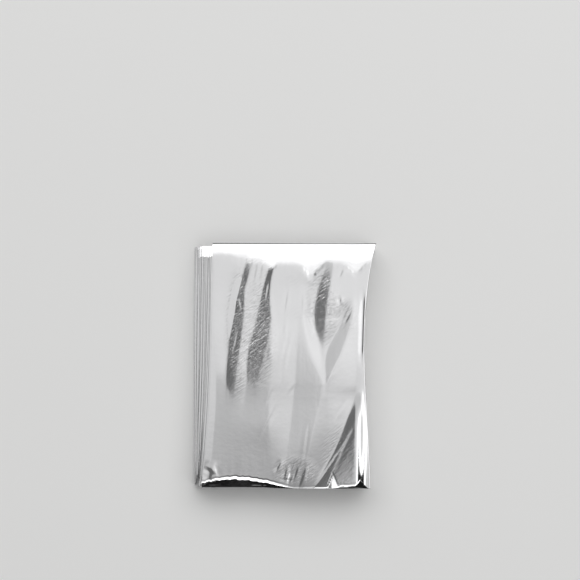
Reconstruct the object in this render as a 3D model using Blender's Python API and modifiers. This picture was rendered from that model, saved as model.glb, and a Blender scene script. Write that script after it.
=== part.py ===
"""Folded emergency foil blanket.

One sheet of metallised film, pleated to a long strip and then folded back and forth to a flat packet.
The packet lies on its back on the floor at Z = 0, with its face up, +X to the right of the face and +Y to its head.
Each run of the solid stands for a few plies of the strip, a little apart from the next.
"""
import math

import bmesh
import bpy

COLLECTION = "folded_emergency_foil_blanket"
NODE = "foil_blanket"
MM = 0.001

# The sheet and how its runs lie on each other, in millimetres
THICKNESS = 1.0
RIM_GAP = 0.28
AIR_GAP = 0.22
HALF_LENGTH = 53.0
TURN_REACH = 0.5 * (THICKNESS + RIM_GAP) + 0.5 * THICKNESS

# How finely the sheet is divided
ROWS = 18
FACE_COLUMNS = 48
UNDER_COLUMNS = 5
TURN_STEPS = 4

# Ends and turns of the runs, from the lowest run's free end up to the face's free end, in millimetres.
# x is how far the edge reaches at the foot, at a third and two thirds of the length, and at the head.
EDGES = (
    # side,   x_foot, x_low, x_high, x_head, y_foot, y_head
    (-1, -39.6, -39.5, -39.3, -38.9, -51.9, 50.6),
    (+1, 35.6, 34.3, 33.7, 37.0, -52.4, 51.6),
    (-1, -39.0, -38.2, -37.9, -37.7, -52.3, 51.2),
    (+1, 36.3, 34.9, 34.2, 37.9, -51.8, 52.1),
    (-1, -38.5, -37.3, -36.2, -36.1, -52.6, 50.9),
    (+1, 35.9, 34.4, 34.0, 37.4, -52.5, 51.7),
    (-1, -37.6, -36.2, -34.9, -34.3, -52.0, 51.5),
    (+1, 36.5, 34.8, 34.1, 38.4, -52.2, 52.3),
    (-1, -37.0, -34.6, -33.2, -32.7, -52.4, 51.3),
    (+1, 37.0, 35.4, 34.6, 39.6, -53.2, 52.6),
    (-1, -35.6, -32.3, -31.1, -30.9, -52.6, 53.0),
)

# The face is flat facets between long creases. A row is one crease, from left to right: where it crosses
# the stations, which lie along the face from head to foot, in millimetres.
STATIONS = (52.5, 32.5, 19.5, 6.5, -8.5, -23.5, -37.0, -52.5)
CREASE_PLACES = (
    ("streak_one_valley", (-14.8, -20.2, -22.7, -24.1, -25.3, -26.0, -27.0, -28.0)),
    ("streak_one_ridge", (-13.0, -16.8, -17.6, -19.3, -21.2, -22.6, -23.4, -24.3)),
    ("streak_two_valley", (-4.5, -9.2, -12.3, -15.6, -16.6, -17.6, -18.6, -19.1)),
    ("streak_two_ridge", (-2.4, -6.3, -5.7, -7.8, -12.0, -12.3, -12.3, -12.3)),
    ("band_ridge", (-0.6, -5.3, -5.3, -5.6, -5.8, -6.5, -5.8, -4.8)),
    ("band_valley", (6.7, 6.2, 6.2, 5.0, 4.0, 2.5, 0.9, 0.4)),
    ("wedge_ridge", (7.1, 6.7, 7.6, 10.4, 16.4, 13.6, 10.6, 8.4)),
    ("streak_three_valley", (17.6, 14.3, 12.7, 15.8, 16.9, 14.6, 11.6, 9.5)),
    ("streak_three_ridge", (21.5, 19.3, 17.6, 17.2, 17.3, 16.0, 14.0, 10.4)),
    ("far_wedge_valley", (28.0, 28.0, 24.6, 18.2, 17.7, 17.2, 15.5, 10.9)),
    ("far_wedge_ridge", (30.0, 29.6, 28.9, 24.9, 18.3, 18.0, 17.0, 11.5)),
    ("pucker_valley", (35.0, 31.6, 30.7, 30.3, 30.6, 26.4, 21.0, 12.3)),
    ("pucker_ridge", (36.3, 32.9, 32.0, 31.8, 33.4, 31.8, 31.3, 31.0)),
    ("pucker_foot", (37.6, 34.0, 33.4, 33.0, 33.8, 35.0, 35.3, 34.4)),
)
# How steeply each facet rises to the right at the stations. The first lies left of the first crease.
FACET_TILTS = (
    ("left", (0.0, -0.02, -0.02, -0.02, 0.04, 0.04, 0.04, 0.04)),
    ("streak_one", (0.0, 0.13, 0.15, 0.15, 0.10, 0.04, 0.04, 0.04)),
    ("between_streaks", (0.0, -0.03, -0.04, -0.04, 0.02, 0.04, 0.04, 0.04)),
    ("streak_two", (0.0, 0.15, 0.15, 0.14, 0.08, 0.04, 0.04, 0.04)),
    ("beside_streak_two", (0.0, -0.02, -0.03, 0.03, 0.04, 0.04, 0.04, 0.04)),
    ("light_band", (0.0, -0.02, -0.04, -0.06, -0.06, -0.06, 0.00, 0.07)),
    ("wedge", (0.0, -0.03, 0.01, 0.06, 0.06, 0.05, 0.05, 0.04)),
    ("right_of_wedge", (0.0, -0.05, -0.07, -0.06, -0.04, -0.05, -0.06, -0.06)),
    ("streak_three", (0.0, 0.15, 0.16, 0.06, -0.04, -0.05, -0.06, -0.06)),
    ("right_of_streak_three", (0.0, -0.03, -0.03, -0.03, -0.03, -0.05, -0.06, -0.06)),
    ("far_wedge", (0.0, -0.03, 0.07, 0.07, 0.07, -0.04, -0.06, -0.06)),
    ("right", (0.0, -0.04, -0.04, -0.04, -0.05, -0.06, -0.06, -0.06)),
    ("pucker", (0.0, -0.04, -0.04, -0.03, -0.03, 0.16, 0.13, 0.11)),
    ("pucker_flank", (0.0, -0.04, -0.04, -0.03, -0.05, -0.30, -0.36, -0.52)),
    ("right_edge", (0.0, -0.04, -0.04, -0.03, -0.03, 0.00, 0.00, 0.00)),
)
CREASE_ROUNDNESS = 0.6

# The face rises from its right turn over this width, and then lies so much farther from the run under it
FACE_LIFT = 0.3
LIFT_WIDTH = 18.0

# The trapped air runs out towards the head from here on
HEAD_FALL_START = 43.0
HEAD_FALL_SHARE = 0.85

# Where the runs under the face sink at the foot. sink is the share of the trapped air that is pressed out.
FOOT_SINK = (
    # x, half_width, sink, reach
    (-18.5, 22.0, 1.0, 9.0),
    (25.6, 6.0, 0.6, 7.0),
)

# The face's own foot edge, from left to right, in millimetres: how far it is drawn back and curls up
FOOT_EDGE = (
    # x, drawn_back, curl
    (-36.5, 1.2, 0.0),
    (-33.5, 2.6, 0.3),
    (-29.5, 3.4, 0.4),
    (-21.3, 3.9, 0.4),
    (-12.7, 3.2, 0.4),
    (-4.1, 1.7, 0.3),
    (3.0, 0.2, 0.1),
    (17.0, 0.2, 0.1),
    (18.6, 0.8, 0.2),
    (20.7, 4.6, 0.4),
    (22.8, 1.3, 0.2),
    (30.0, 1.3, 0.1),
    (32.6, 3.4, 0.1),
    (35.5, 0.2, 0.0),
)
CURL_REACH = 2.0
DRAW_REACH = 14.0

FILM_COLOUR = (0.80, 0.81, 0.82, 1.0)
FILM_ROUGHNESS = 0.15


def smooth_step(t):
    """Rise from 0 to 1 with level ends."""
    t = min(max(t, 0.0), 1.0)
    return t * t * (3.0 - 2.0 * t)


def bump(distance, half_width):
    """Round hump: 1 at the middle, 0 from half_width outwards."""
    if abs(distance) >= half_width:
        return 0.0
    return math.cos(0.5 * math.pi * distance / half_width) ** 2


def through_four(values, t):
    """Cubic curve through four values that lie evenly from t = 0 to t = 1."""
    total = 0.0
    for i, value in enumerate(values):
        weight = 1.0
        for j in range(len(values)):
            if j != i:
                weight *= (3.0 * t - j) / (i - j)
        total += value * weight
    return total


def along_stations(values, y):
    """Smooth curve through a value at each station of the face."""
    last = len(STATIONS) - 1
    y = min(max(y, STATIONS[last]), STATIONS[0])
    step = 0
    while step < last - 1 and y < STATIONS[step + 1]:
        step += 1
    gap = STATIONS[step + 1] - STATIONS[step]
    t = (y - STATIONS[step]) / gap

    def slope(at):
        before = max(at - 1, 0)
        after = min(at + 1, last)
        return gap * (values[after] - values[before]) / (STATIONS[after] - STATIONS[before])

    start = values[step] * (2.0 * t ** 3 - 3.0 * t ** 2 + 1.0) + slope(step) * (t ** 3 - 2.0 * t ** 2 + t)
    end = values[step + 1] * (3.0 * t ** 2 - 2.0 * t ** 3) + slope(step + 1) * (t ** 3 - t ** 2)
    return start + end


def facet_rise(x, y, left):
    """Height that the facets give the face from its left edge to a place, before both edges are brought level."""
    tilts = [along_stations(values, y) for name, values in FACET_TILTS]
    total = tilts[0] * (x - left)
    for (name, values), before, after in zip(CREASE_PLACES, tilts, tilts[1:]):
        past = x - along_stations(values, y)
        total += (after - before) * 0.5 * (past + math.hypot(past, CREASE_ROUNDNESS))
    return total


def face_relief(x, y, left, right):
    """Height of the face over the runs under it: 0 at its right turn."""
    start = facet_rise(left, y, left)
    drift = (facet_rise(right, y, left) - start) / (right - left)
    facets = facet_rise(x, y, left) - start - drift * (x - left)
    return facets + FACE_LIFT * smooth_step((right - x) / LIFT_WIDTH)


def foot_sink(x, y):
    """Share of the trapped air that is pressed out at the foot."""
    total = 0.0
    for centre, half_width, sink, reach in FOOT_SINK:
        near = min(max(1.0 - (y + HALF_LENGTH) / reach, 0.0), 1.0)
        total += sink * math.sqrt(bump(x - centre, half_width)) * near ** 2
    return total


def head_fall(y):
    """Share of the trapped air that is pressed out at the head."""
    return HEAD_FALL_SHARE * min(max((y - HEAD_FALL_START) / (HALF_LENGTH - HEAD_FALL_START), 0.0), 1.0)


def foot_edge(x):
    """How far the face's foot edge is drawn back, and how far it curls up."""
    if x <= FOOT_EDGE[0][0]:
        return FOOT_EDGE[0][1], FOOT_EDGE[0][2]
    for (x_low, back_low, curl_low), (x_high, back_high, curl_high) in zip(FOOT_EDGE, FOOT_EDGE[1:]):
        if x <= x_high:
            t = (x - x_low) / (x_high - x_low)
            return back_low + (back_high - back_low) * t, curl_low + (curl_high - curl_low) * t
    return FOOT_EDGE[-1][1], FOOT_EDGE[-1][2]


def run_height(run, air):
    """Middle of a run above the floor, at a place that keeps this share of its trapped air."""
    return 0.5 * THICKNESS + run * (THICKNESS + RIM_GAP + AIR_GAP * air)


def edge_place(number, t):
    """Where the flat of a run ends, at a share of the packet's length: at a free edge, or where a turn starts."""
    side, x_foot, x_low, x_high, x_head, y_foot, y_head = EDGES[number]
    x = through_four((x_foot, x_low, x_high, x_head), t)
    if 0 < number < len(EDGES) - 1:
        x -= side * TURN_REACH
    return x, y_foot + (y_head - y_foot) * t


def run_points(run, t):
    """Points across one run at a share of the packet's length, from its lower edge to its upper edge."""
    on_face = run == len(EDGES) - 2
    columns = FACE_COLUMNS if on_face else UNDER_COLUMNS
    start_x, start_y = edge_place(run, t)
    end_x, end_y = edge_place(run + 1, t)
    face_foot = EDGES[-1][5]
    points = []
    for column in range(columns + 1):
        share = column / columns
        x = start_x + (end_x - start_x) * share
        y = start_y + (end_y - start_y) * share
        air = 1.0 - head_fall(y)
        if on_face:
            back, curl = foot_edge(x)
            from_foot = y - face_foot
            near = max(1.0 - from_foot / CURL_REACH, 0.0)
            z = run_height(run, air) + face_relief(x, y, end_x, start_x) + curl * near ** 2
            y += back * bump(from_foot, DRAW_REACH)
        else:
            z = run_height(run, air - foot_sink(x, y))
        points.append((x, y, z))
    return points


def turn_points(side, low, high):
    """Points of the round turn between the end of one run and the start of the next, both left out."""
    radius = 0.5 * (high[2] - low[2])
    points = []
    for step in range(1, TURN_STEPS):
        angle = math.pi * (step / TURN_STEPS - 0.5)
        share = 0.5 + 0.5 * math.sin(angle)
        x = low[0] + (high[0] - low[0]) * share + side * radius * math.cos(angle)
        y = low[1] + (high[1] - low[1]) * share
        z = 0.5 * (low[2] + high[2]) + radius * math.sin(angle)
        points.append((x, y, z))
    return points


def section_points(t):
    """The whole back-and-forth section at a share of the packet's length."""
    points = []
    for run in range(len(EDGES) - 1):
        across = run_points(run, t)
        if points:
            points.extend(turn_points(EDGES[run][0], points[-1], across[0]))
        points.extend(across)
    return points


def folded_sheet():
    """The sheet's middle surface, one grid from foot to head and from the lowest run up to the face."""
    mesh = bpy.data.meshes.new(NODE)
    form = bmesh.new()
    rows = []
    for row in range(ROWS + 1):
        t = 0.5 - 0.5 * math.cos(math.pi * row / ROWS)
        rows.append([form.verts.new((x * MM, y * MM, z * MM)) for x, y, z in section_points(t)])
    for lower, upper in zip(rows, rows[1:]):
        for column in range(len(lower) - 1):
            form.faces.new((lower[column], lower[column + 1], upper[column + 1], upper[column]))
    form.to_mesh(mesh)
    form.free()
    return mesh


def centre_on_origin(mesh):
    """Put the origin under the middle of the packet, on the floor."""
    for axis in (0, 1):
        places = [vertex.co[axis] for vertex in mesh.vertices]
        middle = 0.5 * (min(places) + max(places))
        for vertex in mesh.vertices:
            vertex.co[axis] -= middle


def metallised_film():
    """Bright aluminium coat on thin polyester."""
    material = bpy.data.materials.new("metallised_film")
    material.use_nodes = True
    surface = material.node_tree.nodes["Principled BSDF"]
    surface.inputs["Base Color"].default_value = FILM_COLOUR
    surface.inputs["Metallic"].default_value = 1.0
    surface.inputs["Roughness"].default_value = FILM_ROUGHNESS
    return material


def make_blanket():
    """The folded sheet with its thickness, in a collection of its own."""
    mesh = folded_sheet()
    centre_on_origin(mesh)
    mesh.polygons.foreach_set("use_smooth", [True] * len(mesh.polygons))
    mesh.materials.append(metallised_film())
    blanket = bpy.data.objects.new(NODE, mesh)
    wall = blanket.modifiers.new("thickness", "SOLIDIFY")
    wall.thickness = THICKNESS * MM
    wall.offset = 0.0
    wall.use_even_offset = True
    wall.use_rim = True
    collection = bpy.data.collections.new(COLLECTION)
    bpy.context.scene.collection.children.link(collection)
    collection.objects.link(blanket)


def main():
    for old in list(bpy.data.objects):
        bpy.data.objects.remove(old, do_unlink=True)
    make_blanket()


main()
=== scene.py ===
"""Folded emergency foil blanket: the film's real folds, its creased face and its finish, in a pale studio.

The film starts flat, counted in runs and pleats. It is pleated to a strip, and the strip is folded back and
forth to a packet. Lengths are in millimetres until the points are placed: +X right of the face, +Y to its head,
+Z up. The film is a mirror, so the studio's panels, boards and scrim are laid out by the angles it mirrors.
"""
import math

import bmesh
import bpy
import numpy as np
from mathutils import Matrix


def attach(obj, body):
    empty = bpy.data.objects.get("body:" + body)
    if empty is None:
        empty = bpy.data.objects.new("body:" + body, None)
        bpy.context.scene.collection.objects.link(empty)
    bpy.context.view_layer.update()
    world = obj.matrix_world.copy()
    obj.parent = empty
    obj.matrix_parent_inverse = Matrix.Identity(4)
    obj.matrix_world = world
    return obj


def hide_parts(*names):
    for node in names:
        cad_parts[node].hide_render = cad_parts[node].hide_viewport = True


MM = 0.001
NODE = "foil_blanket"

# The film as it is cut: how often it is folded
PLEATS = 12
RUNS = 28

# The packet's body
HALF_LENGTH = 53.0
PACKET_HEIGHT = 14.4
STRIP_FILL = 0.85
TURN_FLATNESS = 0.45

# How finely the film is divided. Shares are of one run or one pleat.
TURN_SHARE = 0.04
TURN_STEPS = 2
GUARD_SHARE = 0.003
RUN_SHARES = (0.0, GUARD_SHARE, 0.2, 0.5, 0.8, 1.0 - GUARD_SHARE, 1.0)
TOP_RUN_COLUMNS = 16
PLEAT_ROWS = 8
FACE_CUTS_ACROSS = 11
FACE_CUTS_ALONG = 28

# Outermost reach of the strip's turns at the left, from the floor up to the face's free end
LEFT_TURNS = (
    # x_foot, x_low, x_high, x_head
    (-39.6, -39.5, -39.3, -38.9),
    (-39.5, -39.2, -39.1, -38.6),
    (-39.1, -38.5, -38.2, -37.9),
    (-39.2, -38.4, -38.0, -37.2),
    (-38.7, -37.6, -37.0, -36.8),
    (-38.4, -37.3, -36.6, -36.0),
    (-38.5, -37.1, -36.3, -35.7),
    (-37.9, -36.3, -35.5, -35.0),
    (-37.7, -36.1, -35.1, -34.3),
    (-37.3, -35.3, -34.3, -33.9),
    (-37.4, -35.0, -33.8, -33.1),
    (-36.9, -34.6, -33.5, -32.6),
    (-36.6, -34.2, -32.7, -32.3),
    (-36.2, -33.3, -32.2, -31.5),
    (-35.6, -32.3, -31.1, -30.9),
)
# The turn at the face's right edge. The turns under it stand back a little, each by its own amount.
RIGHT_TURN = (37.0, 35.4, 34.6, 39.6)
RIGHT_STAND_BACK = (0.3, 1.7)

# Where the strip's pleats end, at the foot and at the head, for the left side, the right side and the face
FOOT_ENDS = {"left": -52.2, "right": -52.3, "face_right": -53.0, "face_left": -52.6}
HEAD_ENDS = {"left": 51.2, "right": 51.9, "face_right": 52.6, "face_left": 52.9}
END_UNEVENNESS = 0.35
# How far the face's fold at the head swells out
HEAD_BULGE = 0.08

# The face is flat facets between long creases. A row is one crease, from left to right: where it crosses
# the stations, which lie along the face from head to foot.
STATIONS = (52.5, 44.5, 32.5, 19.5, 6.5, -8.5, -14.0, -23.5, -37.0, -52.5)
CREASE_PLACES = (
    ("edge_strip", (-30.3, -30.3, -30.3, -30.3, -29.9, -29.5, -29.5, -29.9, -31.2, -32.9)),
    ("streak_one_valley", (-14.8, -16.6, -20.2, -22.7, -24.1, -25.3, -25.6, -26.0, -27.0, -28.0)),
    ("streak_one_ridge", (-13.0, -14.0, -16.8, -17.6, -19.3, -21.2, -21.8, -22.6, -23.4, -24.3)),
    ("streak_two_valley", (-4.5, -6.2, -9.2, -12.3, -15.6, -16.6, -17.0, -17.6, -18.6, -19.1)),
    ("streak_two_ridge", (-2.4, -4.0, -6.3, -5.7, -7.8, -12.0, -12.4, -12.3, -12.3, -12.3)),
    ("band_ridge", (-0.6, -1.5, -5.3, -5.3, -5.6, -5.8, -6.1, -6.5, -5.8, -4.8)),
    ("band_valley", (6.7, 6.2, 6.2, 6.2, 5.0, 4.0, 3.5, 2.5, 0.9, 0.4)),
    ("wedge_ridge", (7.1, 6.7, 6.7, 7.6, 10.4, 16.4, 16.0, 13.6, 10.6, 8.4)),
    ("streak_three_valley", (17.6, 18.0, 14.3, 12.7, 15.8, 16.9, 16.4, 14.6, 11.6, 9.5)),
    ("streak_three_ridge", (21.5, 21.2, 19.3, 17.6, 17.2, 17.3, 17.0, 16.0, 14.0, 10.4)),
    ("far_wedge_valley", (28.0, 28.0, 28.0, 24.6, 18.2, 17.7, 17.6, 17.2, 15.5, 10.9)),
    ("far_wedge_ridge", (30.0, 30.0, 29.6, 28.9, 24.9, 18.3, 17.8, 18.0, 17.0, 11.5)),
    ("pucker_valley", (35.0, 33.3, 31.6, 30.7, 30.3, 30.6, 29.8, 26.4, 21.0, 12.3)),
    ("pucker_ridge", (36.3, 34.6, 32.9, 32.0, 31.8, 33.4, 33.2, 31.8, 31.3, 31.0)),
    ("pucker_foot", (37.6, 35.9, 34.0, 33.4, 33.0, 33.8, 34.0, 34.6, 34.9, 34.4)),
)
# How steeply each facet rises to the right at the stations. The first lies left of the first crease.
FACET_TILTS = (
    ("edge_strip", (0.000, -0.010, -0.010, -0.010, -0.010, -0.020, -0.021, -0.020, -0.020, -0.020)),
    ("left", (0.000, -0.050, -0.050, -0.035, -0.020, 0.040, 0.046, 0.045, 0.045, 0.040)),
    ("streak_one", (0.000, 0.050, 0.130, 0.150, 0.150, 0.095, 0.060, 0.045, 0.045, 0.040)),
    ("between_streaks", (0.000, -0.020, -0.030, -0.040, -0.035, 0.015, 0.027, 0.040, 0.045, 0.040)),
    ("streak_two", (0.000, 0.110, 0.150, 0.145, 0.140, 0.075, 0.058, 0.040, 0.040, 0.040)),
    ("beside_streak_two", (0.000, -0.030, -0.035, -0.030, 0.030, 0.040, 0.041, 0.040, 0.040, 0.035)),
    ("light_band", (0.000, -0.030, -0.030, -0.035, -0.045, -0.045, -0.045, -0.045, 0.000, 0.070)),
    ("wedge", (0.000, -0.020, -0.030, 0.010, 0.055, 0.055, 0.053, 0.050, 0.050, 0.040)),
    ("right_of_wedge", (0.000, -0.030, -0.050, -0.070, -0.060, -0.040, -0.040, -0.040, -0.045, -0.045)),
    ("streak_three", (0.000, 0.040, 0.150, 0.160, 0.060, -0.040, -0.040, -0.040, -0.045, -0.045)),
    ("right_of_streak_three", (0.000, -0.020, -0.030, -0.030, -0.030, -0.030, -0.035, -0.040, -0.045, -0.045)),
    ("far_wedge", (0.000, -0.030, -0.030, 0.110, 0.115, 0.110, 0.060, -0.040, -0.045, -0.045)),
    ("right", (0.000, -0.040, -0.040, -0.040, -0.040, -0.040, -0.048, -0.045, -0.045, -0.045)),
    ("pucker", (0.000, -0.040, -0.040, -0.040, -0.030, 0.015, 0.130, 0.180, 0.175, 0.150)),
    ("pucker_flank", (0.000, -0.040, -0.040, -0.040, -0.030, -0.050, -0.360, -0.320, -0.360, -0.550)),
    ("right_edge", (0.000, -0.040, -0.040, -0.040, -0.030, -0.030, -0.020, 0.000, 0.000, 0.000)),
)
CREASE_ROUNDNESS = 0.35

# Small creases. Across its width the film steps up to the right, or down where the rise is less than 0,
# and falls back to the facet over the spread beside it. Its ends fade over a share of its length.
SMALL_CREASES = (
    # x_from, y_from, x_to, y_to, half_width, rise
    (1.5, 31.6, 0.1, 22.4, 0.35, 0.028),
    (7.9, 29.5, 7.5, 23.5, 0.35, 0.034),
    (2.4, 12.4, 0.4, 5.0, 0.35, 0.036),
    (0.4, 5.0, -1.1, -4.6, 0.35, 0.030),
    (20.9, -2.8, 16.5, -7.2, 0.50, 0.025),
    (25.4, 41.4, 24.0, 38.1, 0.45, 0.055),
    (24.2, 29.4, 24.0, 26.6, 0.30, 0.070),
    (28.4, 26.3, 25.2, 20.0, 0.45, 0.055),
    (28.9, 23.4, 26.4, 18.4, 0.40, 0.050),
    (27.0, 25.8, 24.4, 20.6, 0.35, 0.045),
    (26.1, -16.1, 22.8, -21.7, 0.50, 0.022),
    (-8.3, 49.4, -10.2, 39.0, 0.50, 0.025),
    (-11.3, 44.9, -13.1, 36.1, 0.50, 0.022),
    (0.2, 18.3, -0.5, 13.5, 0.45, 0.028),
    (-6.4, 8.8, -7.1, 3.6, 0.60, 0.040),
    (9.3, -43.9, 7.7, -49.8, 0.40, 0.045),
    (3.9, -42.8, 1.4, -46.9, 0.50, 0.045),
    (-1.3, -48.3, 3.5, -49.0, 0.60, 0.035),
    (-4.6, -18.7, -9.4, -28.3, 0.60, -0.027),
    (-5.6, -10.6, -7.6, -15.7, 0.50, -0.021),
    (4.5, -8.0, 2.1, -11.3, 0.60, -0.024),
    (9.7, -28.7, 8.0, -40.2, 0.35, -0.050),
    (6.4, -41.4, 5.6, -45.9, 0.35, -0.035),
    (-29.7, -43.6, -28.9, -47.6, 0.40, -0.045),
    (1.1, -44.1, 0.0, -48.4, 0.50, 0.080),
    (3.7, -46.7, 1.9, -51.0, 0.55, 0.090),
    (6.2, -43.2, 4.1, -49.2, 0.45, 0.100),
    (2.6, -44.9, 1.3, -49.7, 0.30, -0.050),
    (-1.5, -41.5, -3.2, -44.9, 0.60, 0.080),
    (8.4, -45.8, 6.7, -51.4, 0.50, 0.080),
    (-8.7, 39.8, -9.6, 33.8, 0.45, -0.018),
    (-7.0, 35.3, -8.1, 28.7, 0.50, -0.055),
    (-20.4, 13.9, -22.1, 6.5, 0.50, -0.055),
    (-19.4, 29.0, -18.9, 24.2, 0.50, -0.045),
    (-17.2, 7.2, -6.4, 14.6, 0.50, -0.045),
    (-15.3, 5.0, -6.1, 12.2, 0.45, -0.045),
    (-19.4, 5.1, -13.5, 10.9, 0.50, -0.045),
    (25.0, -34.2, 13.5, -51.3, 0.40, -0.050),
    (28.5, -28.3, 22.0, -42.4, 0.90, -0.045),
    (33.3, -19.5, 33.1, -43.0, 1.20, 0.300),
    (-32.0, -42.6, -32.2, -49.6, 2.40, 0.190),
    (-33.4, -43.8, -30.4, -46.2, 0.60, 0.090),
    (34.4, 30.0, 33.9, 18.0, 0.40, 0.110),
    (33.9, 18.0, 33.5, 4.0, 0.40, 0.110),
)
CREASE_SPREAD = 2.0
CREASE_END = 0.8

# Where the film is finely wrinkled
WRINKLE_PATCHES = (
    # x, y, half_width, half_length, strength
    (-20.1, 13.9, 4.4, 24.4, 1.30),
    (-11.6, 13.9, 7.0, 20.0, 1.25),
    (16.1, 25.7, 6.3, 14.8, 1.20),
    (27.2, 22.0, 4.0, 7.0, 0.55),
    (-11.6, 39.8, 5.9, 8.9, 0.40),
    (6.1, 27.2, 9.6, 16.3, 0.25),
    (5.0, -45.8, 8.0, 6.0, 1.00),
    (24.5, -40.0, 7.4, 13.0, 0.55),
)
PATCH_FADE = 0.7

# The face rises from its right turn over this width, and lies a little above the plies under it
FACE_LIFT = 0.3
LIFT_WIDTH = 18.0

# The packet falls to its head from here on, and more steeply near its edge, where it rolls over
HEAD_FALL = (
    # x, y_gentle, y_steep
    (-40.0, 46.0, 48.5),
    (-31.5, 47.0, 49.8),
    (-25.0, 46.6, 49.6),
    (-19.0, 44.8, 48.4),
    (-11.4, 44.0, 47.8),
    (-8.6, 43.2, 47.4),
    (-6.5, 41.8, 47.0),
    (-4.3, 42.6, 47.0),
    (-1.0, 43.2, 47.2),
    (3.0, 43.0, 47.2),
    (6.5, 42.6, 47.2),
    (9.2, 40.0, 46.4),
    (11.8, 37.4, 45.2),
    (14.2, 39.8, 46.2),
    (17.0, 42.8, 47.0),
    (22.0, 43.4, 47.6),
    (26.0, 42.4, 47.2),
    (28.6, 40.6, 46.4),
    (30.8, 38.9, 45.6),
    (33.0, 40.8, 46.2),
    (35.5, 42.8, 47.0),
    (40.0, 43.6, 47.6),
)
HEAD_JAG = 0.25
HEAD_JAG_SPACING = 0.8
HEAD_SLOPES = (0.15, 0.12)
HEAD_ROUNDNESS = 2.2
HEAD_ROLL_START = 52.05
HEAD_ROLL_SLOPE = 0.5
HEAD_ROLL_ROUNDNESS = 0.1
# The plies under the face fall sooner by this length
PLY_SAG = 1.6
# The turns at the left fall more steeply, to show as far down the stack
LEFT_FALL = ((-39.5, 3.5), (-31.5, 1.0))

# The face's fall to its foot, where it meets the plies under it
FOOT_FALL_START = 36.0
FOOT_CLOSINGS = (
    # x, half_width, fall
    (5.5, 11.0, 0.6),
)

# Steps in the stack beside the face, where its turns gape
STACK_CREASES = (
    # x_from, y_from, x_to, y_to, half_width, rise
    (-37.5, -28.8, -37.6, -37.8, 0.50, 0.9),
    (-38.8, -46.0, -39.2, -51.5, 0.70, 1.2),
    (-36.7, -50.0, -36.9, -52.0, 0.50, 0.7),
)

# The foot: where the plies under the face sink, and where the face's own edge lies and curls up
FOOT_SINK = (
    # x, half_width, sink, reach
    (-18.5, 24.0, 2.8, 7.0),
    (30.0, 12.0, 1.1, 4.0),
    (34.0, 5.0, 0.5, 6.0),
)
SINK_POWER = 0.4
FOOT_EDGE = (
    # x, drawn_back, curl, reach
    (-36.5, 1.5, 0.00, 0.4),
    (-35.5, 2.1, 0.10, 0.4),
    (-33.5, 2.6, 0.16, 0.5),
    (-29.5, 3.4, 0.26, 0.7),
    (-21.3, 3.9, 0.42, 1.0),
    (-17.0, 3.7, 0.45, 1.0),
    (-12.7, 3.2, 0.42, 1.0),
    (-8.4, 2.6, 0.36, 0.9),
    (-4.1, 1.7, 0.28, 0.8),
    (1.5, 0.5, 0.12, 0.5),
    (4.0, 0.1, 0.06, 0.5),
    (17.0, 0.2, 0.10, 0.6),
    (18.6, 0.4, 0.10, 0.6),
    (20.7, 0.4, 0.85, 6.0),
    (22.8, 0.6, 0.12, 0.6),
    (24.0, 1.1, 0.12, 0.6),
    (30.0, 1.3, 0.12, 0.6),
    (31.6, 2.6, 0.15, 0.6),
    (32.6, 3.6, 0.10, 0.5),
    (34.4, 1.6, 0.00, 0.4),
    (36.0, 0.2, 0.00, 0.4),
)
CURL_POWER = 1.5
# The film dips behind the curl, by its full depth where the curl is full
FULL_CURL = 0.4
DIP_PLACE = 0.3
DIP_WIDTH = 0.7
DIP_DEPTH = 0.10
# How far up the face it is drawn back, and how ragged its edge is where it is drawn back far
DRAW_REACH = 14.0
LIP_JAG = 0.25
LIP_JAG_SPACING = 0.9
FULL_JAG_DRAW = 2.0

# Seeds of the random wanders
LIP_SEED = 7
HEAD_SEED = 8
TURN_SEED = 7
PLEAT_SEED = 57
END_SEED = 107
WANDER_KNOTS = 512

# The film's surface: sizes and heights of its crinkles, drawn lines and wrinkles, and how its haze varies
CRINKLE_SIZE = 2.5
CRINKLE_HEIGHT = 0.012
DRAWN_LINE_SIZE = (4.0, 40.0, 40.0)
DRAWN_LINE_TURN = -5.0
DRAWN_LINE_HEIGHT = 0.02
WRINKLE_SIZE = (3.5, 0.65, 3.5)
WRINKLE_TURN = 38.0
WRINKLE_HEIGHT = 0.09
HAZE_SIZE = 14.0
ROUGHNESS_RANGE = (0.07, 0.14)


def smooth_step(t):
    """Rise from 0 to 1 with level ends."""
    t = np.clip(t, 0.0, 1.0)
    return t * t * (3.0 - 2.0 * t)


def bump(distance, half_width):
    """Round hump: 1 at the middle, 0 from half_width outwards."""
    return np.where(np.abs(distance) < half_width, np.cos(0.5 * math.pi * distance / half_width) ** 2, 0.0)


def through_four(values, t):
    """Cubic curve through four values that lie evenly from t = 0 to t = 1."""
    total = np.zeros_like(t)
    for i, value in enumerate(values):
        weight = np.ones_like(t)
        for j in range(4):
            if j != i:
                weight *= (3.0 * t - j) / (i - j)
        total += value * weight
    return total


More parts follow.
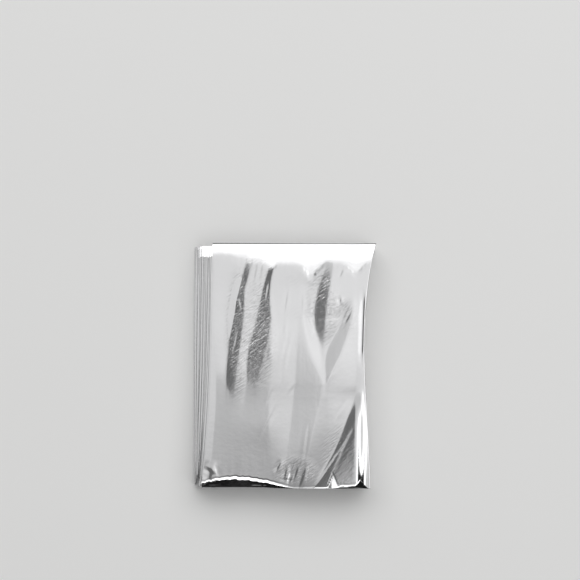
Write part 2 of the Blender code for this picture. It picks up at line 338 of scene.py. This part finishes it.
def through_rows(places, values, at, steady=False):
    """Smooth curve through a value at each place. The places rise.

    A steady curve swings past none of its values.
    """
    places = np.array(places)
    values = np.array(values)
    slopes = np.gradient(values, places)
    if steady:
        steps = np.diff(values) / np.diff(places)
        gentler = np.minimum(np.abs(steps[:-1]), np.abs(steps[1:]))
        same_way = steps[:-1] * steps[1:] > 0.0
        held_back = np.sign(steps[1:]) * np.minimum(np.abs(slopes[1:-1]), 2.0 * gentler)
        slopes[1:-1] = np.where(same_way, held_back, 0.0)
    at = np.clip(at, places[0], places[-1])
    step = np.clip(np.searchsorted(places, at) - 1, 0, len(places) - 2)
    gap = places[step + 1] - places[step]
    t = (at - places[step]) / gap
    low = values[step] * (2 * t ** 3 - 3 * t ** 2 + 1) + slopes[step] * gap * (t ** 3 - 2 * t ** 2 + t)
    high = values[step + 1] * (3 * t ** 2 - 2 * t ** 3) + slopes[step + 1] * gap * (t ** 3 - t ** 2)
    return low + high


def along_stations(values, y, steady=False):
    """Smooth curve through a value at each station of the face."""
    return through_rows(STATIONS[::-1], values[::-1], y, steady)


def unevenness(x, spacing, seed):
    """Seeded wander between -1 and 1, with a new value every spacing."""
    knots = np.random.default_rng(seed).uniform(-1.0, 1.0, WANDER_KNOTS)
    place = x / spacing + 0.5 * WANDER_KNOTS
    step = np.clip(np.floor(place).astype(int), 0, WANDER_KNOTS - 2)
    t = smooth_step(place - step)
    return knots[step] * (1.0 - t) + knots[step + 1] * t


def past(distance, roundness):
    """Length past a place, rounded to both sides of it."""
    share = np.clip(0.5 + 0.5 * distance / roundness, 0.0, 1.0)
    return np.where(distance > roundness, distance, roundness * share ** 2)


def packet_top(x, y, sag=0.0):
    """Height of the packet before its facets. It falls to its head, and sooner by its sag."""
    places, gentle, steep = zip(*HEAD_FALL)
    jag = HEAD_JAG * unevenness(x, HEAD_JAG_SPACING, HEAD_SEED)
    steeper = np.interp(x, *zip(*LEFT_FALL))
    fall = np.zeros_like(x)
    for starts, slope, ragged in zip((gentle, steep), HEAD_SLOPES, (jag, 0.0)):
        fall += slope * past(y + sag / steeper - through_rows(places, starts, x) - ragged, HEAD_ROUNDNESS)
    roll = HEAD_ROLL_SLOPE * past(y - HEAD_ROLL_START, HEAD_ROLL_ROUNDNESS)
    return PACKET_HEIGHT - steeper * fall - roll


def stack_height(x, y):
    """Height of the strip's folded stack, which sinks at the foot."""
    height = packet_top(x, y, PLY_SAG)
    for centre, half_width, sink, reach in FOOT_SINK:
        share = np.clip(1.0 - (y + HALF_LENGTH) / reach, 0.0, 1.0)
        height = height - sink * bump(x - centre, half_width) ** SINK_POWER * share ** 2
    return height + crease_height(STACK_CREASES, x, y)


def face_level(x, y):
    """Height that the face lies at, before its facets."""
    share = np.clip((-y - FOOT_FALL_START) / (HALF_LENGTH - FOOT_FALL_START), 0.0, 1.0)
    level = packet_top(x, y)
    for centre, half_width, fall in FOOT_CLOSINGS:
        level = level - fall * bump(x - centre, half_width) * share ** 2
    return level


def facet_height(x, y, left, right):
    """Height that the facets give the face between its left and right edges."""
    tilts = [along_stations(values, y, steady=True) for name, values in FACET_TILTS]
    places = [along_stations(values, y) for name, values in CREASE_PLACES]

    def rise(at):
        total = tilts[0] * (at - left)
        for place, before, after in zip(places, tilts, tilts[1:]):
            ramp = 0.5 * (at - place + np.hypot(at - place, CREASE_ROUNDNESS))
            total = total + (after - before) * ramp
        return total

    start = rise(left)
    drift = (rise(right) - start) / (right - left)
    lift = FACE_LIFT * smooth_step((right - x) / LIFT_WIDTH)
    return rise(x) - start - drift * (x - left) + lift


def crease_height(creases, x, y):
    """Height that small creases give the film."""
    height = np.zeros_like(x)
    for x_from, y_from, x_to, y_to, half_width, rise in creases:
        length = math.hypot(x_to - x_from, y_to - y_from)
        right, head = (y_from - y_to) / length, (x_to - x_from) / length
        aside = (x - x_from) * right + (y - y_from) * head
        along = ((x - x_from) * (x_to - x_from) + (y - y_from) * (y_to - y_from)) / length ** 2
        step = np.sin(0.5 * math.pi * np.clip(aside / half_width, -1.0, 1.0))
        ends = smooth_step(0.5 + along / CREASE_END) * smooth_step(0.5 + (1.0 - along) / CREASE_END)
        height += rise * step * bump(aside, half_width + CREASE_SPREAD) * ends
    return height


def wrinkle_strength(x, y):
    """How strongly the film is wrinkled at each place of the face."""
    strength = np.zeros_like(x)
    for centre_x, centre_y, half_width, half_length, share in WRINKLE_PATCHES:
        from_centre = np.hypot((x - centre_x) / half_width, (y - centre_y) / half_length)
        strength = np.maximum(strength, share * smooth_step(2.0 * (1.0 - PATCH_FADE * from_centre)))
    return strength


def lip_shape(x, from_foot):
    """How far the face's foot edge is drawn back, and how it dips and then curls up."""
    places, *columns = zip(*FOOT_EDGE)
    back, curl, reach = (np.interp(x, places, column) for column in columns)
    jag = LIP_JAG * unevenness(x, LIP_JAG_SPACING, LIP_SEED)
    near = np.clip(1.0 - from_foot / reach, 0.0, 1.0)
    dip = DIP_DEPTH * smooth_step(curl / FULL_CURL) * bump(from_foot - reach - DIP_PLACE, DIP_WIDTH)
    return back + jag * smooth_step(back / FULL_JAG_DRAW), curl * near ** CURL_POWER - dip


def turn_reach(number, t):
    """Outermost x of a turn or free end of the strip, at a share of the packet's length."""
    if number % 2 == 0:
        return through_four(LEFT_TURNS[number // 2], t)
    low, high = RIGHT_STAND_BACK
    wander = np.random.default_rng(TURN_SEED + number)
    stand_back = 0.0 if number == RUNS - 1 else wander.uniform(low, high)
    return through_four(RIGHT_TURN, t) - stand_back


def strip_end(number, ends):
    """y of the strip's end at a turn."""
    wander = np.random.default_rng(END_SEED + number).uniform(-END_UNEVENNESS, END_UNEVENNESS)
    if number == RUNS:
        return ends["face_left"]
    if number == RUNS - 1:
        return ends["face_right"]
    return ends["left" if number % 2 == 0 else "right"] + wander


def fold_lines(shares_of_each):
    """Where the flat film is divided, counted in runs or pleats, from each one's own shares.

    The lines lie close in a fold.
    """
    lines = []
    last = len(shares_of_each) - 1
    for number, shares in enumerate(shares_of_each):
        start = TURN_SHARE if number > 0 else 0.0
        end = 1.0 - TURN_SHARE if number < last else 1.0
        lines += [number + start + (end - start) * share for share in shares]
        if number < last:
            turn_steps = 2 * TURN_STEPS
            lines += [number + end + 2.0 * TURN_SHARE * i / turn_steps for i in range(1, turn_steps)]
    return lines


def flat_film():
    """The film laid flat, counted in runs along X and pleats along Y.

    It is divided finely where the face will be, but not in the short guard rows beside the folds.
    """
    form = bmesh.new()
    top_run = [0.0, GUARD_SHARE] + [i / TOP_RUN_COLUMNS for i in range(1, TOP_RUN_COLUMNS + 1)]
    runs = fold_lines([RUN_SHARES] * (RUNS - 1) + [top_run])
    close_at_folds = [0.5 - 0.5 * math.cos(math.pi * i / PLEAT_ROWS) for i in range(PLEAT_ROWS + 1)]
    close_at_folds[1:-1] = [RUN_SHARES[1]] + close_at_folds[1:-1] + [RUN_SHARES[-2]]
    pleats = fold_lines([close_at_folds] * PLEATS)
    grid = [[form.verts.new((u, v, 0.0)) for u in runs] for v in pleats]
    for lower, upper in zip(grid, grid[1:]):
        for column in range(len(runs) - 1):
            form.faces.new((lower[column], lower[column + 1], upper[column + 1], upper[column]))
    face_run = RUNS - 1 + 0.5 * TURN_SHARE
    face_pleat = PLEATS - 1 + 0.5 * TURN_SHARE
    longest_guard = 2.0 * GUARD_SHARE

    def middle(edge):
        return 0.5 * (edge.verts[0].co + edge.verts[1].co)

    def runs_across(edge):
        return abs(edge.verts[0].co.y - edge.verts[1].co.y) < abs(edge.verts[0].co.x - edge.verts[1].co.x)

    across = [
        edge for edge in form.edges
        if runs_across(edge) and middle(edge).x > face_run + 0.5 * TURN_SHARE
        and middle(edge).y > face_pleat - TURN_SHARE and edge.calc_length() > longest_guard
    ]
    bmesh.ops.subdivide_edges(form, edges=across, cuts=FACE_CUTS_ACROSS)
    along = [
        edge for edge in form.edges
        if not runs_across(edge) and middle(edge).x > face_run - TURN_SHARE
        and middle(edge).y > face_pleat + 0.5 * TURN_SHARE and edge.calc_length() > longest_guard
    ]
    bmesh.ops.subdivide_edges(form, edges=along, cuts=FACE_CUTS_ALONG)
    mesh = bpy.data.meshes.new("foil_film")
    form.to_mesh(mesh)
    form.free()
    return mesh


def split_fold(place, count):
    """For places counted in runs or pleats: the piece, the share of its flat, the nearest fold and its angle.

    The last result says which places lie in a fold.
    """
    number = np.clip(np.floor(place).astype(int), 0, count - 1)
    share = place - number
    low_turn = (share < TURN_SHARE) & (number > 0)
    high_turn = (share > 1.0 - TURN_SHARE) & (number < count - 1)
    fold = np.where(share > 0.5, number + 1, number)
    start = np.where(number > 0, TURN_SHARE, 0.0)
    end = np.where(number < count - 1, 1.0 - TURN_SHARE, 1.0)
    flat_share = np.clip((share - start) / (end - start), 0.0, 1.0)
    quarter = 0.5 * math.pi
    angle = np.where(low_turn, quarter * share / TURN_SHARE, 0.0)
    angle = np.where(high_turn, quarter * (share - 1.0) / TURN_SHARE, angle)
    return number, flat_share, fold, angle, low_turn | high_turn


def fold_film(mesh):
    """Bring each point of the flat film to its place in the packet."""
    flat = np.empty(3 * len(mesh.vertices))
    mesh.vertices.foreach_get("co", flat)
    flat = flat.reshape(-1, 3)
    run, run_share, turn, turn_angle, in_turn = split_fold(flat[:, 0], RUNS)
    pleat, pleat_share, crease, crease_angle, in_crease = split_fold(flat[:, 1], PLEATS)

    # Across the strip: odd folds of the pleats lie at the head, even ones at the foot
    from_head = np.where(pleat % 2 == 1, pleat_share, 1.0 - pleat_share)
    along = np.where(in_crease, np.where(crease % 2 == 1, 1.0, 0.0), 1.0 - from_head)

    feet = np.array([strip_end(number, FOOT_ENDS) for number in range(RUNS + 1)])
    heads = np.array([strip_end(number, HEAD_ENDS) for number in range(RUNS + 1)])
    reach = np.array([turn_reach(number, along) for number in range(RUNS + 1)])
    points = np.arange(len(flat))

    in_ply = np.where(in_crease, crease + 0.5 * np.sin(crease_angle), pleat + 0.5)
    offset = (in_ply / PLEATS - 0.5) * STRIP_FILL

    # Heights are first counted in runs, so that one division of the stack serves every place
    outer = TURN_FLATNESS * (0.5 + 0.5 * STRIP_FILL)
    pitch = PACKET_HEIGHT / RUNS
    left_right = np.where(turn % 2 == 0, -1.0, 1.0)
    sign = np.where((RUNS - 1 - run) % 2 == 0, 1.0, -1.0)
    sign_of_turn = np.where((RUNS - 1 - turn) % 2 == 0, 1.0, -1.0)
    radius = 0.5 + sign_of_turn * offset

    def turn_start(numbers):
        x = reach[numbers, points]
        inner = (numbers > 0) & (numbers < RUNS)
        return np.where(inner, x - np.where(numbers % 2 == 0, -1.0, 1.0) * outer * pitch, x)

    x_flat = turn_start(run) + (turn_start(run + 1) - turn_start(run)) * run_share
    x_turn = turn_start(turn) + left_right * TURN_FLATNESS * radius * pitch * np.cos(turn_angle)
    x = np.where(in_turn, x_turn, x_flat)
    level = np.where(in_turn, turn + radius * np.sin(turn_angle), run + 0.5 + sign * offset)

    foot_flat = feet[run] + (feet[run + 1] - feet[run]) * run_share
    head_flat = heads[run] + (heads[run + 1] - heads[run]) * run_share
    foot = np.where(in_turn, feet[turn], foot_flat)
    head = np.where(in_turn, heads[turn], head_flat)
    ragged = END_UNEVENNESS * unevenness(crease * 1.0, 1.0, PLEAT_SEED)
    y = foot + (head - foot) * along
    stand_back = (END_UNEVENNESS - ragged) * (run < RUNS - 1)
    y = y + np.where(along > 0.5, -stand_back, stand_back) * (2.0 * along - 1.0) ** 2
    # The face's outer ply stands free of the plies under it, from its right turn to its free ends
    on_face = (run == RUNS - 1) & ~(in_turn & (turn_angle < 0.0))
    in_face_crease = in_crease & (crease == PLEATS - 1)
    loose = np.where(pleat == PLEATS - 1, 1.0, 0.0)
    loose = np.where(in_face_crease, 0.5 + 0.5 * np.sin(crease_angle), loose)
    loose = loose * on_face
    back, curl = lip_shape(x, y - foot)
    y = y + loose * back * bump(y - foot, DRAW_REACH)
    left = reach[RUNS]
    right = turn_start(np.full(len(flat), RUNS - 1))
    rise = face_level(x, y) - stack_height(x, y) + facet_height(x, y, left, right)
    rise = rise + crease_height(SMALL_CREASES, x, y)
    z = level * stack_height(x, y) / RUNS + loose * (rise + curl)
    y = y + HEAD_BULGE * np.cos(crease_angle) * (in_face_crease & on_face)

    wrinkle = mesh.attributes.new("wrinkle", "FLOAT", "POINT")
    wrinkle.data.foreach_set("value", loose * wrinkle_strength(x, y))
    folded = np.stack((x, y, z), axis=1) * MM
    mesh.vertices.foreach_set("co", folded.ravel())
    mesh.update()


def linear_colour(hex_code):
    """Linear colour of an sRGB hex value."""
    channels = [int(hex_code[i:i + 2], 16) / 255.0 for i in (1, 3, 5)]
    return tuple(c / 12.92 if c <= 0.04045 else ((c + 0.055) / 1.055) ** 2.4 for c in channels) + (1.0,)


def empty_material(name):
    """New material without nodes, and its node tree."""
    material = bpy.data.materials.new(name)
    material.use_nodes = True
    material.node_tree.nodes.clear()
    return material, material.node_tree


def add_node(tree, kind, settings=None, values=None, links=None):
    """Add a node, set its settings and socket values, and link sockets from other nodes."""
    node = tree.nodes.new(kind)
    for name, value in (settings or {}).items():
        setattr(node, name, value)
    for name, value in (values or {}).items():
        node.inputs[name].default_value = value
    for name, source in (links or {}).items():
        tree.links.new(source, node.inputs[name])
    return node


def add_relief(tree, height, distance, under=None):
    """Bump of a height in mm, laid over the relief under it."""
    links = {"Height": height} if under is None else {"Height": height, "Normal": under}
    bump_node = add_node(tree, "ShaderNodeBump", {}, {"Strength": 1.0, "Distance": distance * MM}, links)
    return bump_node.outputs["Normal"]


def metallised_polyester():
    """Polyester film with an aluminium coat laid on in vacuum: a mirror with fine crinkles and some haze."""
    material, tree = empty_material("metallised_polyester_film")
    place = add_node(tree, "ShaderNodeTexCoord").outputs["Object"]
    # Fine crinkles all over
    crinkle = add_node(
        tree, "ShaderNodeTexNoise", {"noise_type": "FBM"},
        {"Scale": 1.0 / (CRINKLE_SIZE * MM), "Detail": 3.0, "Roughness": 0.5}, {"Vector": place},
    )
    relief = add_relief(tree, crinkle.outputs["Fac"], CRINKLE_HEIGHT)
    # Faint lines drawn along the face
    drawn = add_node(
        tree, "ShaderNodeMapping", {},
        {
            "Rotation": (0.0, 0.0, math.radians(DRAWN_LINE_TURN)),
            "Scale": tuple(1.0 / (size * MM) for size in DRAWN_LINE_SIZE),
        },
        {"Vector": place},
    )
    drawn_lines = add_node(
        tree, "ShaderNodeTexNoise", {}, {"Scale": 1.0, "Detail": 2.0}, {"Vector": drawn.outputs["Vector"]},
    )
    relief = add_relief(tree, drawn_lines.outputs["Fac"], DRAWN_LINE_HEIGHT, relief)
    # Slanted wrinkles where the mesh asks for them
    slanted = add_node(
        tree, "ShaderNodeMapping", {"vector_type": "TEXTURE"},
        {
            "Rotation": (0.0, 0.0, math.radians(WRINKLE_TURN)),
            "Scale": tuple(size * MM for size in WRINKLE_SIZE),
        },
        {"Vector": place},
    )
    wrinkle = add_node(
        tree, "ShaderNodeTexNoise", {}, {"Scale": 1.0, "Detail": 3.0, "Roughness": 0.6, "Distortion": 0.5},
        {"Vector": slanted.outputs["Vector"]},
    )
    patch = add_node(tree, "ShaderNodeAttribute", {"attribute_name": "wrinkle"})
    height = add_node(
        tree, "ShaderNodeMath", {"operation": "MULTIPLY"}, {},
        {0: wrinkle.outputs["Fac"], 1: patch.outputs["Fac"]},
    )
    relief = add_relief(tree, height.outputs["Value"], WRINKLE_HEIGHT, relief)
    # Haze in soft patches
    haze = add_node(
        tree, "ShaderNodeTexNoise", {}, {"Scale": 1.0 / (HAZE_SIZE * MM), "Detail": 4.0}, {"Vector": place},
    )
    smoothest, dullest = ROUGHNESS_RANGE
    roughness = add_node(
        tree, "ShaderNodeMapRange", {}, {"To Min": smoothest, "To Max": dullest},
        {"Value": haze.outputs["Fac"]},
    )
    surface = add_node(
        tree, "ShaderNodeBsdfPrincipled", {},
        {"Base Color": linear_colour("#F1F1F2"), "Metallic": 1.0},
        {"Roughness": roughness.outputs["Result"], "Normal": relief},
    )
    add_node(tree, "ShaderNodeOutputMaterial", {}, {}, {"Surface": surface.outputs["BSDF"]})
    return material


def make_blanket():
    """The folded film, in place of its solid."""
    mesh = flat_film()
    # Only the face's own ply is smooth. Its folds keep their sharp edges.
    smooth = [
        part.center.x > RUNS - 1 + TURN_SHARE and part.center.y > PLEATS - 1 + TURN_SHARE
        for part in mesh.polygons
    ]
    mesh.polygons.foreach_set("use_smooth", smooth)
    fold_film(mesh)
    mesh.materials.append(metallised_polyester())
    blanket = bpy.data.objects.new("foil_film", mesh)
    bpy.context.scene.collection.objects.link(blanket)
    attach(blanket, "root")
    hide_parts(NODE)
    return blanket


# Studio, in metres
CAMERA_PLACE = (0.0024, 0.0325, 1.10)
FRAME_WIDTH = 0.2494
FACE_LEVEL = 0.0135
SENSOR_WIDTH = 36.0
FLOOR_SIZE = 8.0
PANEL_HEIGHT = 2.4

# Reflecting panels over the film, by the degrees they cover from straight up: to the right, and to the head
OVERHEAD_PANELS = (
    # name, left, right, foot, head, brightness over the room's
    ("grey_panel", -10.5, -6.0, -30.0, 14.0, 0.31),
    ("grey_panel_edge", -6.0, -3.0, -30.0, 14.0, 0.35),
    ("pale_panel_left", -3.0, 3.0, -30.0, 9.0, 0.50),
    ("pale_panel", 3.0, 9.0, -30.0, 9.0, 0.54),
    ("pale_panel_right", 9.0, 14.0, -30.0, 9.0, 0.62),
    ("head_panel", -3.0, 14.0, 9.0, 11.5, 0.53),
    ("head_panel_edge", -3.0, 14.0, 11.5, 14.0, 0.60),
    ("right_softbox_edge", 14.0, 19.0, -30.0, 14.0, 0.86),
    ("right_softbox", 19.0, 50.0, -30.0, 14.0, 1.10),
    ("head_softbox_edge", -45.0, 50.0, 14.0, 16.0, 0.67),
    ("head_softbox_outer", -45.0, 50.0, 16.0, 18.5, 0.76),
    ("head_softbox_middle", -45.0, 50.0, 18.5, 22.0, 0.89),
    ("head_softbox_inner", -45.0, 50.0, 22.0, 26.0, 1.10),
    ("head_softbox", -45.0, 50.0, 26.0, 62.0, 1.70),
)
ROOM_BRIGHTNESS = 0.26

# Dark boards that only the film mirrors, placed in the same way a little above the panels
BOARD_LIFT = 0.01
DARK_BOARDS = (
    # name, left, right, foot, head, brightness
    ("dark_board_left", -50.0, -10.6, -30.0, 14.0, 0.135),
    ("black_board_left", -72.0, -50.5, -45.0, 20.0, 0.01),
    ("black_board_foot", -40.0, 50.0, -61.0, -30.5, 0.01),
    ("black_board_right", 50.5, 70.0, -45.0, 20.0, 0.01),
)

# A graded scrim a little under the panels: its left, right, foot and head edges in the same degrees
SCRIM_EDGES = (-10.5, 19.0, -30.0, 9.0)
SCRIM_DROP = 0.01
SCRIM_SHADES = (
    # towards_head, light_let_through
    (-30.0, 0.30),
    (-10.0, 0.45),
    (-6.5, 0.70),
    (-3.8, 0.87),
    (-1.5, 0.94),
    (0.5, 1.00),
    (9.0, 1.00),
)


def add_floor():
    """Pale matt table top."""
    bpy.ops.mesh.primitive_plane_add(size=FLOOR_SIZE, location=(0.0, 0.0, 0.0))
    floor = bpy.context.object
    floor.name = "studio_floor"
    material = bpy.data.materials.new("pale_matt_board")
    material.use_nodes = True
    surface = material.node_tree.nodes["Principled BSDF"]
    surface.inputs["Base Color"].default_value = linear_colour("#F4F4F3")
    surface.inputs["Roughness"].default_value = 0.9
    floor.data.materials.append(material)


def overhead(degrees):
    """How far out something hangs that is mirrored at an angle from straight up."""
    return PANEL_HEIGHT * math.tan(math.radians(degrees))


def overhead_rectangle(left, right, foot, head):
    """Middle x, middle y, width and length of what fills these angles."""
    low_x, high_x, low_y, high_y = (overhead(angle) for angle in (left, right, foot, head))
    return 0.5 * (low_x + high_x), 0.5 * (low_y + high_y), high_x - low_x, high_y - low_y


def add_overhead_panels():
    """Soft panels that the film mirrors, facing down."""
    for name, left, right, foot, head, brightness in OVERHEAD_PANELS:
        x, y, width, length = overhead_rectangle(left, right, foot, head)
        light = bpy.data.lights.new(name, "AREA")
        light.shape = "RECTANGLE"
        light.size = width
        light.size_y = length
        light.energy = brightness * math.pi * light.size * light.size_y
        panel = bpy.data.objects.new(name, light)
        panel.location = (x, y, PANEL_HEIGHT)
        bpy.context.scene.collection.objects.link(panel)


def hang_sheet(name, edges, lift, material):
    """Flat sheet at the panels' height, which the camera and the floor don't see."""
    x, y, width, length = overhead_rectangle(*edges)
    bpy.ops.mesh.primitive_plane_add(size=1.0, location=(x, y, PANEL_HEIGHT + lift))
    hung = bpy.context.object
    hung.name = name
    hung.scale = (width, length, 1.0)
    hung.visible_camera = False
    hung.visible_diffuse = False
    hung.data.materials.append(material)
    return hung


def add_dark_boards():
    """Boards that the film mirrors as its dark tones. They keep no light from the floor."""
    for name, left, right, foot, head, brightness in DARK_BOARDS:
        material, tree = empty_material(name)
        glow = add_node(tree, "ShaderNodeEmission", {}, {"Strength": brightness})
        add_node(tree, "ShaderNodeOutputMaterial", {}, {}, {"Surface": glow.outputs["Emission"]})
        hang_sheet(name, (left, right, foot, head), BOARD_LIFT, material).visible_shadow = False


def add_graded_scrim():
    """Scrim cloth under the panels over the packet. It lets less light through towards the foot."""
    material, tree = empty_material("graded_scrim_cloth")
    place = add_node(tree, "ShaderNodeTexCoord")
    along = add_node(tree, "ShaderNodeSeparateXYZ", {}, {}, {"Vector": place.outputs["Object"]})
    share = add_node(tree, "ShaderNodeMath", {"operation": "ADD"}, {1: 0.5}, {0: along.outputs["Y"]})
    shade = add_node(tree, "ShaderNodeValToRGB", {}, {}, {"Fac": share.outputs["Value"]})
    steps = shade.color_ramp.elements
    low_y, high_y = overhead(SCRIM_EDGES[2]), overhead(SCRIM_EDGES[3])
    for number, (angle, passed) in enumerate(SCRIM_SHADES):
        # The ramp starts with its two ends
        ends = {0: steps[0], len(SCRIM_SHADES) - 1: steps[-1]}
        step = ends[number] if number in ends else steps.new((overhead(angle) - low_y) / (high_y - low_y))
        step.color = (passed, passed, passed, 1.0)
    cloth = add_node(tree, "ShaderNodeBsdfTransparent", {}, {}, {"Color": shade.outputs["Color"]})
    add_node(tree, "ShaderNodeOutputMaterial", {}, {}, {"Surface": cloth.outputs["BSDF"]})
    hang_sheet("graded_scrim", SCRIM_EDGES, -SCRIM_DROP, material)


def add_room():
    """Dim grey room around the panels."""
    world = bpy.data.worlds.new("studio_room")
    world.use_nodes = True
    background = world.node_tree.nodes["Background"]
    background.inputs["Color"].default_value = (1.0, 1.0, 1.0, 1.0)
    background.inputs["Strength"].default_value = ROOM_BRIGHTNESS
    bpy.context.scene.world = world


def add_camera():
    """Camera straight over the packet, framed as the photograph is."""
    lens = bpy.data.cameras.new("camera")
    lens.sensor_width = SENSOR_WIDTH
    lens.lens = SENSOR_WIDTH * (CAMERA_PLACE[2] - FACE_LEVEL) / FRAME_WIDTH
    camera = bpy.data.objects.new("camera", lens)
    camera.location = CAMERA_PLACE
    bpy.context.scene.collection.objects.link(camera)
    bpy.context.scene.camera = camera


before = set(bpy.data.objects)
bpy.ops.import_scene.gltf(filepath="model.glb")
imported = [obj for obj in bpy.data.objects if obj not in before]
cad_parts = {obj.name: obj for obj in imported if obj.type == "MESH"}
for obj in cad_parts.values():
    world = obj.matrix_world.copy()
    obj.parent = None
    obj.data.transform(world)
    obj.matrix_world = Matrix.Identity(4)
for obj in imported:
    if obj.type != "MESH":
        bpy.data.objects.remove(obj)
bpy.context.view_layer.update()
add_camera()
add_floor()
add_overhead_panels()
add_dark_boards()
add_graded_scrim()
add_room()
make_blanket()
bpy.context.scene.view_settings.view_transform = "Standard"
